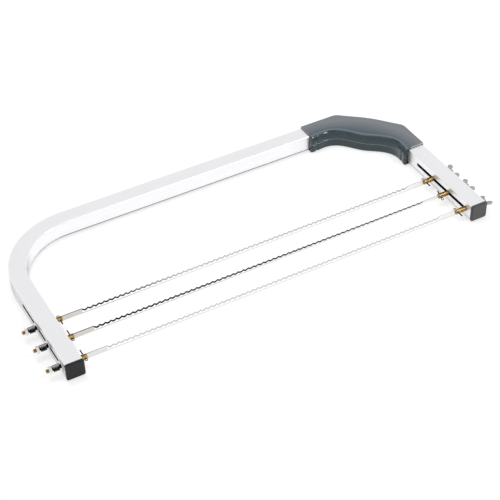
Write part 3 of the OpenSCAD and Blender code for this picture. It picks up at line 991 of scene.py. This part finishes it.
# Pieces


def dress_nodes(finishes: dict[str, Finish]) -> list[Piece]:
    """Dresses pieces that come from the solids as they are.

    Args:
        finishes: The finish of each node, by its name.

    Returns:
        The dressed pieces.
    """
    for node, finish in finishes.items():
        finish.dress(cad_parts[node])
    return [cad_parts[node] for node in finishes]


@dataclass(frozen=True)
class Grip:
    """The moulded grip round the right back corner, in two halves."""

    cover: float = 1.8
    wall: float = 1.8
    fit: float = 0.1
    corner_cover: float = 2.2
    corner_round: float = 12.0
    groove_cover: float = 3.0
    swell: float = 9.0
    lip: float = 3.5
    groove_angle: float = 28.5
    edge_round: float = 9.0
    lower_edge_round: float = 3.0
    bulge: float = 3.2
    lip_round: float = 2.2
    crease: float = 1.1
    crease_place: float = 8.0
    crease_width: float = 1.4
    back_edge: float = 0.6
    back_tail: float = 3.5
    arm_tail: float = -2.0
    seam: float = 0.35
    rib: float = 1.6
    screw_bore: float = 1.4
    screw_head: float = 2.6
    screw_seat: float = 3.0
    screw_angle: float = 21.0
    screw_out: float = 2.5
    bore_past: float = 1.0
    bore_overlap: float = 0.5
    lip_steps: int = 9
    even_steps: int = 90
    rib_foot: float = 0.3
    # Share of the painted rim highlight at the left end.
    left_rim_highlight_share: float = 0.4
    edge_steps: int = 13
    back_steps: int = 5
    seam_edge: float = 0.15
    inset: float = 0.3
    sharp: float = 32.0

    @property
    def half(self) -> float:
        """Height of one half."""
        return BOW.tube / 2 + self.cover

    @property
    def inner(self) -> float:
        """Radius of the tube's inside face."""
        return BOW.grip_bend - BOW.tube / 2

    @property
    def run(self) -> float:
        """Length of the grip along the inside face of the tube."""
        return self.back_tail + self.inner * math.pi / 2 + self.arm_tail

    @property
    def middle(self) -> float:
        """Distance of the rib along the grip."""
        return self.back_tail + self.inner * math.pi / 4

    def runs(self) -> np.ndarray:
        """Stations along the grip: close on the lips and at the rib, and even between them.

        Returns:
            Distances along the grip.
        """
        lip = self.lip_round * (1 - np.cos(np.linspace(0, math.pi / 2, self.lip_steps)))
        rib, foot = self.rib / 2, self.rib / 2 + self.rib_foot
        first = np.linspace(self.lip_round, self.middle - foot, self.even_steps)[1:]
        last = np.linspace(self.middle + foot, self.run - self.lip_round, self.even_steps)[:-1]
        sides = [self.middle - rib, self.middle + rib]
        return np.concatenate([lip, first, sides, last, self.run - lip[::-1]])

    def angle(self, run: np.ndarray) -> np.ndarray:
        """Angle in degrees round the bend at a distance along the grip."""
        arc = self.inner * math.pi / 2
        return np.clip(90 - (run - self.back_tail) / arc * 90, 0, 90)

    def finger_side(self, run: np.ndarray) -> np.ndarray:
        """Radius of the finger side.

        The cover over the tube is a raised cosine: it swells in the middle, sinks into a
        groove on each side and rises to the lips, whose rims are a quarter round. A crease
        with the profile of a bell curve lies beside each lip.

        Args:
            run: Distances along the grip.

        Returns:
            The radius round the bend's centre at each.
        """
        away = np.abs(self.angle(run) - 45)
        swell = self.swell * (1 + np.cos(np.pi * away / self.groove_angle)) / 2
        share = np.minimum(1, (away - self.groove_angle) / (45 - self.groove_angle))
        lip = self.lip * (1 - np.cos(np.pi * share)) / 2
        cover = self.groove_cover + np.where(away < self.groove_angle, swell, lip)
        from_end = np.minimum(run, self.run - run)
        beside = (from_end - self.crease_place) / self.crease_width
        cover = cover - self.crease * np.exp(-(beside**2))
        end = np.clip(from_end, 0, self.lip_round)
        return self.inner - cover + quarter_drop(self.lip_round, self.lip_round - end)

    def back(self, run: np.ndarray) -> np.ndarray:
        """Radius of the back: the straight sides, the slanted corner and its rounded ends.

        The slanted corner bulges a little by a squared sine, which is highest in its middle.

        Args:
            run: Distances along the grip.

        Returns:
            The radius round the bend's centre at each.
        """
        angle = self.angle(run)
        a = np.radians(np.minimum(angle, 90 - angle))
        side = BOW.tube / 2 + BOW.grip_bend + BOW.grip_back
        slant = BOW.tube / 2 + BOW.grip_bend + self.corner_cover
        corner_y = slant * math.sqrt(2) - side
        cut = self.corner_round * math.tan(math.pi / 8)
        mid_x, mid_y = side - self.corner_round, corner_y - cut
        first = math.atan2(mid_y, side)
        end_x, end_y = side - cut / math.sqrt(2), corner_y + cut / math.sqrt(2)
        along = mid_x * np.cos(a) + mid_y * np.sin(a)
        reach = along**2 - mid_x**2 - mid_y**2 + self.corner_round**2
        rounded = along + np.sqrt(np.maximum(0, reach))
        flat = np.where(a < first, side / np.cos(a), rounded)
        corner = np.where(a > math.atan2(end_y, end_x), slant / np.cos(math.pi / 4 - a), flat)
        share = ramp(a, first, math.pi / 4 - first)
        return corner + self.bulge * np.sin(share * math.pi / 2) ** 2

    def section(
        self, run: np.ndarray, edge: float
    ) -> tuple[np.ndarray, np.ndarray, dict[str, np.ndarray]]:
        """Cross-section of one half at each station, as radius, height and marks.

        The points go up the hollow, over the seat of the tube, along the seam's plane to
        the back, up the back, over its small round edge and the flat top, down the large
        round edge of the finger side, which is a quarter circle, and down to the seam.

        The end faces have a small round edge on the outside, by which the back and the flat
        top draw in over the last stations.

        Args:
            run: Distances along the grip, one for each station.
            edge: Radius of the finger side's edge.

        Returns:
            Radius and height with one row for each station, and marks on the seam, for the
            painted highlight on the rims of the ends and for the painted shade in the hollow and
            on the end faces, in the same order.
        """
        quarter = np.radians(np.linspace(0, 90, self.edge_steps))
        arc = self.half - edge + edge * np.sin(quarter)
        levels = np.concatenate([[0, self.seam, self.seam + self.seam_edge], arc])
        count = len(levels)
        drop = quarter_drop(edge, np.maximum(0, levels - (self.half - edge)))
        finger, back = self.finger_side(run)[:, None], self.back(run)[:, None]
        seat = self.inner - self.fit
        at_rib = (np.abs(run - self.middle) < self.rib / 2 + self.rib_foot / 2)[:, None]
        inside = np.where(at_rib, seat, np.minimum(seat, finger + self.wall + drop))
        seat_top = BOW.tube / 2 + self.fit
        outer = np.full_like(finger, BOW.grip_bend + BOW.tube / 2 + self.fit)
        bend = np.radians(np.linspace(0, 90, self.back_steps))
        edge_r = -self.back_edge * (1 - np.cos(bend))
        edge_z = self.half - self.back_edge * (1 - np.sin(bend))
        skin = finger + drop[::-1]
        skin[:, -1] += self.seam
        radius = np.concatenate([
            inside, outer, outer, back, back + edge_r, back - self.back_edge - self.inset,
            skin[:, :1] + self.inset, skin,
        ], axis=1)
        heights = np.concatenate([
            levels * seat_top / self.half, [seat_top, 0, 0], edge_z, [self.half, self.half],
            levels[::-1],
        ])
        end = np.clip(np.minimum(run, self.run - run), 0, self.back_edge)[:, None]
        draw = quarter_drop(self.back_edge, self.back_edge - end)
        radius[:, count + 2 : -count - 1] -= draw
        seam, painted_rim_highlight, hollow = np.zeros((3, *radius.shape))
        seam[:, -2:] = 1.0
        upper = slice(count + 4, 2 - count)
        # Painted highlight along the top of the end faces, weaker at the left end.
        painted_rim_highlight[run < self.back_edge, upper] = self.left_rim_highlight_share
        painted_rim_highlight[self.run - run < self.back_edge, upper] = 1.0
        # Painted black shade in the hollow and on the finger side of the end faces.
        hollow[:, : count + 2] = 1.0
        hollow[[0, -1], 4 - count :] = 1.0
        marks = {"seam": seam, "painted_rim_highlight": painted_rim_highlight, "hollow": hollow}
        return radius, np.minimum(heights, self.half - draw), marks

    def shell(self, which: Half) -> Piece:
        """One half as a closed surface over stations along the grip and its cross-section.

        A point's angle comes from its station. On the straight tails the whole section is
        carried along the tube instead.

        Args:
            which: The upper or the lower half.

        Returns:
            The half as a new object.
        """
        run = self.runs()
        edge = self.edge_round if which is Half.UPPER else self.lower_edge_round
        radius, height, marks = self.section(run, edge)
        angle = np.radians(self.angle(run))[:, None]
        centre = BOW.grip_centre
        tail_x = np.minimum(0, run - self.back_tail)[:, None]
        tail_y = np.maximum(0, run - self.back_tail - self.inner * math.pi / 2)[:, None]
        x = centre[0] + radius * np.cos(angle) + tail_x
        y = centre[1] + radius * np.sin(angle) - tail_y
        rings = np.stack([x, y, BOW.mid_height + which.value * height], axis=-1)
        return make_tube(f"grip_{which.name.lower()}_shell", rings, self.sharp, marks)

    def build(self) -> list[Piece]:
        """Both halves, with the bores of the screws cut into the lower one.

        The two screws stand in the solid plastic outside the bend.

        Returns:
            The two halves.
        """
        halves = [self.shell(Half.UPPER), self.shell(Half.LOWER)]
        reach = BOW.grip_bend + BOW.tube / 2 + self.screw_out + self.wall
        for side in (-1, 1):
            a = math.radians(45 + side * self.screw_angle)
            x, y = BOW.grip_centre
            spot = (x + reach * math.cos(a), y + reach * math.sin(a))
            low, high = self.screw_seat - self.bore_overlap, BOW.mid_height + self.bore_past
            cut_bore(halves[1], spot, self.screw_head, -self.bore_past, self.screw_seat)
            cut_bore(halves[1], spot, self.screw_bore, low, high)
        for piece, node in zip(halves, ("grip_upper", "grip_lower")):
            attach(piece, "bow")
            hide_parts(node)
            Finishes.grip.dress(piece)
        Finishes.screw.dress(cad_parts["grip_screws"])
        return halves


@dataclass(frozen=True)
class Bow:
    """The bent tube with the plugs in the cut ends of its arms."""

    def build(self) -> list[Piece]:
        """Dresses the tube and the plugs.

        Returns:
            The three pieces.
        """
        return dress_nodes({
            "frame_tube": Finishes.tube,
            "left_end_plug": Finishes.plug,
            "right_end_plug": Finishes.painted_light_plug,
        })


@dataclass(frozen=True)
class Blade:
    """A thin steel blade with plain shanks and ground scallops on its upper edge."""

    station: float
    turn: float = 0.0
    start: float = 23.1
    end: float = 489.4
    width: float = 7.0
    thickness: float = 0.6
    scallops: int = 65
    pitch: float = 6.3
    scallop_depth: float = 1.9
    tip_drop: float = 0.4
    bevel: float = 1.5
    shoulder: float = 1.2
    held: float = 6.0
    spine_round: float = 0.12
    spine_land: float = 0.8
    top_land: float = 0.08
    # The painted dark reflection reaches this far down the bevel's front face.
    dark_edge: float = 0.35
    dull_spine: float = 1.1
    steps: int = 14
    left_dull: float = 1.0
    right_dull: float = 0.3
    back_dull: float = 0.9
    shank_gap: float = 0.7
    dark_shanks: Pair = (0.8, 0.3)
    dark_spine: float = 0.35
    mark_fade: float = 0.1
    sharp: float = 16.0
    # Where the bevel starts to turn from the painted dark reflection to its own colour, and over
    # what length.
    pale_bevel_from: float = 520.0
    pale_bevel_over: float = 60.0

    def stations(self) -> tuple[np.ndarray, np.ndarray, np.ndarray]:
        """X of each cross-section, the height of its top and the height of its bevel.

        Over the teeth the top sinks from the tips by half a sine wave a scallop. Over the
        shanks it is plain and has no bevel.

        Returns:
            Three arrays with one number for each cross-section.
        """
        first = (self.start + self.end - self.scallops * self.pitch) / 2
        count = np.arange(self.scallops * self.steps + 1)
        teeth = first + count * self.pitch / self.steps
        hollow = self.scallop_depth * np.sin(np.pi * (count % self.steps) / self.steps)
        plain = np.full(3, self.width / 2)
        left = np.array([self.start, self.start + self.held, first - self.shoulder])
        right = np.array([teeth[-1] + self.shoulder, self.end - self.held, self.end])
        x = np.concatenate([left, teeth, right])
        top = np.concatenate([plain, self.width / 2 - self.tip_drop - hollow, plain])
        ground = np.concatenate([np.zeros(3), np.full(len(teeth), self.bevel), np.zeros(3)])
        return x, top, ground

    def build(self, name: str) -> Piece:
        """The blade as a surface over its stations and its cross-section.

        The cross-section goes up the flat back, over the edge, down the bevel and the front
        and round the spine. It turns about the blade's length evenly over the teeth.

        Args:
            name: The name of the piece.

        Returns:
            The blade as a new object.
        """
        x, top, ground = self.stations()
        half, low, r = self.thickness / 2, -self.width / 2, self.spine_round
        edge, spine = top - ground, low + self.dull_spine
        dark = edge - self.dark_edge
        outline = (
            (half, low + r), (half, low + self.spine_land), (half, top - self.top_land),
            (half, top), (-half, edge), (-half, dark), (-half, dark - self.mark_fade),
            (-half, spine), (-half, spine - self.mark_fade), (-half, low + r),
            (-half + r, low), (half - r, low),
        )
        across, height = (
            np.stack([np.broadcast_to(spot[way], x.shape) for spot in outline], axis=-1)
            for way in (0, 1)
        )
        first, last = x[3], x[-4]
        shanks = [x < first - self.shank_gap, x > last + self.shank_gap]
        cut, dull, bare = np.zeros((3, *height.shape))
        # Mark of the painted dark reflection: full on the scallops' bevel, weaker along the
        # shanks' top edge and along the spine.
        cut[:, 3:6] = np.select(shanks, self.dark_shanks, 1.0)[:, None]
        cut[:, 8:10] = np.select(shanks, (0.0, 0.0), self.dark_spine)[:, None]
        dull += np.select(shanks, (self.left_dull, self.right_dull), 0.0)[:, None]
        dull[:, 8:] = np.maximum(dull[:, 8:], self.back_dull)
        # Along this ramp the bevel turns from the painted dark reflection to its own colour.
        bare += ramp(x, self.pale_bevel_from, self.pale_bevel_over)[:, None]
        share = ramp(x, first, last - first)
        a = np.radians(self.turn * share)[:, None]
        y = self.station + across * np.cos(a) - height * np.sin(a)
        z = BOW.mid_height + across * np.sin(a) + height * np.cos(a)
        rings = np.stack([np.broadcast_to(x[:, None], y.shape), y, z], axis=-1)
        marks = {"ground": cut, "dull": dull, "bare": bare}
        return make_tube(name, rings, self.sharp, marks)


@dataclass(frozen=True)
class TensionSpring:
    """A wound wire that pushes the tension nut away from the arm."""

    station: float
    diameter: float = 7.6
    wire: float = 0.8
    length: float = 9.6
    curls: float = 5.25
    bend: float = 0.5
    start: float = -10.7
    sides: int = 16
    bend_turn: float = 76.0
    bend_steps: int = 6
    steps: int = 26
    # Way of the light from above, for the painted highlight on the coils.
    shine: Triple = (0.0, -0.26, 0.966)
    shine_ramp: Pair = (0.93, 0.05)
    crest_ramp: Pair = (0.75, 0.2)
    sharp: float = 50.0

    def path(self) -> np.ndarray:
        """Middle line of the wire as distances round and along its cylinder.

        Each end runs straight along the axis for one wire diameter, bends through
        most of a quarter circle and goes over into the winding, which rises evenly.

        Returns:
            An array of points, one row each.
        """
        radius = (self.diameter - self.wire) / 2
        around = 2 * math.pi * radius * self.curls
        bend = np.radians(np.linspace(0, self.bend_turn, self.bend_steps))
        curve = [self.bend * (1 - np.cos(bend)), self.wire + self.bend * np.sin(bend)]
        first = np.concatenate([[[0.0, 0.0]], np.stack(curve, axis=-1)])
        share = np.linspace(0, 1, int(self.curls * self.steps))[1:-1, None]
        low = np.array([self.bend, self.wire + self.bend])
        end = np.array([around, self.length])
        return np.concatenate([first, low + (end - low - low) * share, end - first[::-1]])

    def build(self, name: str) -> Piece:
        """The spring as a surface over its path and the wire's circle.

        Each ring is square to the wire: it stands on the way out from the axis and on the
        way across the wire within the cylinder. A painted highlight lies on the outer fibre
        of the wire where it faces the light from above.

        Args:
            name: The name of the piece.

        Returns:
            The spring as a new object.
        """
        radius = (self.diameter - self.wire) / 2
        path = self.path()
        steps = np.diff(path, axis=0)
        steps /= np.linalg.norm(steps, axis=1)[:, None]
        way = np.concatenate([[[0.0, 1.0]], steps[:-1] + steps[1:], [[0.0, 1.0]]])
        way /= np.linalg.norm(way, axis=1)[:, None]
        a = path[:, 0] / radius
        nil = np.zeros_like(a)
        out = np.stack([nil, np.cos(a), np.sin(a)], axis=-1)
        tangent = np.stack([nil, -np.sin(a), np.cos(a)], axis=-1)
        side = way[:, :1] * np.array([1.0, 0.0, 0.0]) - way[:, 1:] * tangent
        middle = np.stack([path[:, 1], radius * np.cos(a), radius * np.sin(a)], axis=-1)
        b = np.linspace(0, 2 * math.pi, self.sides, endpoint=False)[None, :, None]
        circle = np.cos(b) * out[:, None] + np.sin(b) * side[:, None]
        rings = middle[:, None] + self.wire / 2 * circle
        # Painted highlight on the outer fibre of the coils where they face the light from above.
        lit = ramp(out @ np.array(self.shine), *self.shine_ramp)
        crest = ramp(np.cos(b), *self.crest_ramp) * lit[:, None, None]
        rings += np.array([self.start, self.station, BOW.mid_height])
        return make_tube(name, rings, self.sharp, {"crest": crest})


@dataclass(frozen=True)
class BladeSet:
    """A blade with its holders, split pins, spring, washers and nuts."""

    lane: Lane
    blade: Blade

    def build(self) -> list[Piece]:
        """Makes the blade and the spring and dresses the turned and pressed pieces.

        Returns:
            All pieces of the set.
        """
        lane = self.lane.value
        body = f"{lane}_blade_set"
        blade = self.blade.build(f"{lane}_scalloped_blade")
        spring = TensionSpring(self.blade.station).build(f"{lane}_wound_spring")
        for piece, node, slot, finish in (
            (blade, f"{lane}_blade", "blade", Finishes.blade),
            (spring, f"{lane}_tension_spring", "spring", Finishes.spring),
        ):
            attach(piece, body)
            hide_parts(node)
            finish.dress(piece)
        kept = dress_nodes({
            f"{lane}_{part}": finish
            for finish, parts in (
                (Finishes.brass, ("left_holder", "right_holder")),
                (Finishes.pin, ("left_pin", "right_pin")),
                (Finishes.washer, ("left_washer", "right_washer")),
                (Finishes.nut, ("tension_nut",)),
                (Finishes.wing, ("wing_nut",)),
            )
            for part in parts
        })
        return [blade, spring, *kept]


# Studio


@dataclass(frozen=True)
class Lamp:
    """A square softbox, which can be kept out of mirrors."""

    name: str
    place: Triple
    size: float
    power: float
    mirrored: bool = True

    def hang(self, aim: Vector) -> None:
        """Hangs the lamp and turns it to a point.

        Args:
            aim: The point that it lights.
        """
        light = bpy.data.lights.new(self.name, "AREA")
        light.shape = "SQUARE"
        light.size = self.size
        light.energy = self.power
        holder = bpy.data.objects.new(self.name, light)
        holder.location = self.place
        holder.visible_glossy = self.mirrored
        holder.rotation_euler = (aim - holder.location).to_track_quat("-Z", "Y").to_euler()
        bpy.context.scene.collection.objects.link(holder)


@dataclass(frozen=True)
class Studio:
    """White table, plain lamps and the camera."""

    azimuth: float = -27.96
    elevation: float = 40.72
    roll: float = -1.59
    distance: float = 1.5511
    target: Triple = (0.0002, -0.0317, 0.0018)
    lens: float = 100.15
    sensor: float = 36.0
    floor_size: float = 12.0
    clip: Pair = (0.05, 40.0)
    table: Colour = (0.80, 0.80, 0.80)
    table_seen: Pair = (0.50, 0.62)
    table_mirrored: Pair = (0.70, 0.53)
    world_strength: float = 0.535
    overhead: float = 0.84
    overhead_range: Pair = (0.1, 0.6)
    lamps: tuple[Lamp, ...] = (
        Lamp("front_softbox", (0.86, -1.04, 1.48), 0.46, 7.5),
        Lamp("back_softbox", (-0.38, 0.54, 1.88), 0.36, 5.2, mirrored=False),
        Lamp("top_softbox", (-0.1, 0.1, 2.2), 1.5, 6.5, mirrored=False),
    )

    def camera(self) -> None:
        """Places the camera round its target, turned by its roll."""
        az, el, roll = (math.radians(v) for v in (self.azimuth, self.elevation, self.roll))
        back = Vector((math.sin(az) * math.cos(el), -math.cos(az) * math.cos(el), math.sin(el)))
        right = Vector((math.cos(az), math.sin(az), 0.0))
        up = back.cross(right)
        side = right * math.cos(roll) + up * math.sin(roll)
        top = up * math.cos(roll) - right * math.sin(roll)
        data = bpy.data.cameras.new("camera")
        data.lens = self.lens
        data.sensor_width = self.sensor
        data.clip_start, data.clip_end = self.clip
        camera = bpy.data.objects.new("camera", data)
        turned = Matrix((side, top, back)).transposed().to_4x4()
        place = Vector(self.target) + back * self.distance
        camera.matrix_world = Matrix.Translation(place) @ turned
        bpy.context.scene.collection.objects.link(camera)
        bpy.context.scene.camera = camera

    def rays(self, graph: Graph) -> tuple[Socket, Socket]:
        """Tells the rays of the camera from those by way of a mirror.

        Args:
            graph: The graph of a material or of the world.

        Returns:
            One for a camera ray, and one for a mirrored or refracted ray.
        """
        path = graph.add("LightPath").outputs
        mirrored = graph.math("MAXIMUM", path["Is Glossy Ray"], path["Is Transmission Ray"])
        return path["Is Camera Ray"], mirrored

    def floor(self) -> None:
        """White table top that keeps the object's shadow.

        What the camera sees is a plain white glow plus a diffuse part that the object
        shades, which add up to white on the open table. A mirror sees the same with shares
        of its own.
        """
        corners = np.array([[-1, -1, 0], [1, -1, 0], [1, 1, 0], [-1, 1, 0]]) * self.floor_size / 2
        mesh = bpy.data.meshes.new("table_top")
        mesh.from_pydata(corners.tolist(), [], [[0, 1, 2, 3]])
        table = bpy.data.objects.new("table_top", mesh)
        bpy.context.scene.collection.objects.link(table)
        made = bpy.data.materials.new("white_table")
        made.use_nodes = True
        graph = Graph(made.node_tree)
        made.node_tree.nodes.clear()
        camera, mirrored = self.rays(graph)
        result = graph.add("BsdfDiffuse", {"Color": self.table}).outputs[0]
        for seen, (shade, glow) in ((camera, self.table_seen), (mirrored, self.table_mirrored)):
            shaded = graph.add("BsdfDiffuse", {"Color": (shade, shade, shade)})
            light = graph.add("Emission", {"Color": WHITE, "Strength": glow})
            both = graph.add("AddShader", {0: shaded.outputs[0], 1: light.outputs[0]})
            result = graph.add("MixShader", {0: seen, 1: result, 2: both.outputs[0]}).outputs[0]
        graph.add("OutputMaterial", {0: result})
        mesh.materials.append(made)

    def world(self) -> None:
        """Even light from all round.

        The camera sees it white. A mirror sees it white at the horizon and a little greyer
        overhead, as the height of the ray's way grows.
        """
        world = bpy.data.worlds.new("studio")
        bpy.context.scene.world = world
        world.use_nodes = True
        world.node_tree.nodes.clear()
        graph = Graph(world.node_tree)
        camera, mirrored = self.rays(graph)
        rise = graph.parts(graph.add("TexCoord").outputs["Generated"])[2]
        overhead = graph.spread(rise, *self.overhead_range, 1.0, self.overhead)
        strength = graph.spread(mirrored, 0.0, 1.0, self.world_strength, overhead)
        strength = graph.spread(camera, 0.0, 1.0, strength, 1.0)
        light = graph.add("Background", {"Color": WHITE, "Strength": strength})
        graph.add("OutputWorld", {0: light.outputs[0]})

    def build(self) -> None:
        """Sets up the camera, table, world and lamps."""
        bpy.context.scene.view_settings.view_transform = "Standard"
        self.camera()
        self.floor()
        self.world()
        for lamp in self.lamps:
            lamp.hang(Vector((0.0, 0.0, 0.0)))


def main() -> None:
    """Builds the studio and every sub-assembly, and reports each piece."""
    logging.basicConfig(level=logging.INFO, format="%(name)s: %(message)s")
    Studio().build()
    assemblies = (
        Bow(),
        Grip(),
        BladeSet(Lane.FRONT, Blade(BOW.stations[0], left_dull=0.6, pale_bevel_from=0.0)),
        BladeSet(Lane.MIDDLE, Blade(BOW.stations[1], turn=25.0, dark_edge=0.6)),
        BladeSet(Lane.REAR, Blade(BOW.stations[2], pale_bevel_from=90.0, pale_bevel_over=80.0)),
    )
    for assembly in assemblies:
        for piece in assembly.build():
            log.info("%s: %d faces", piece.name, len(piece.data.polygons))


if __name__ == "__main__":
    main()
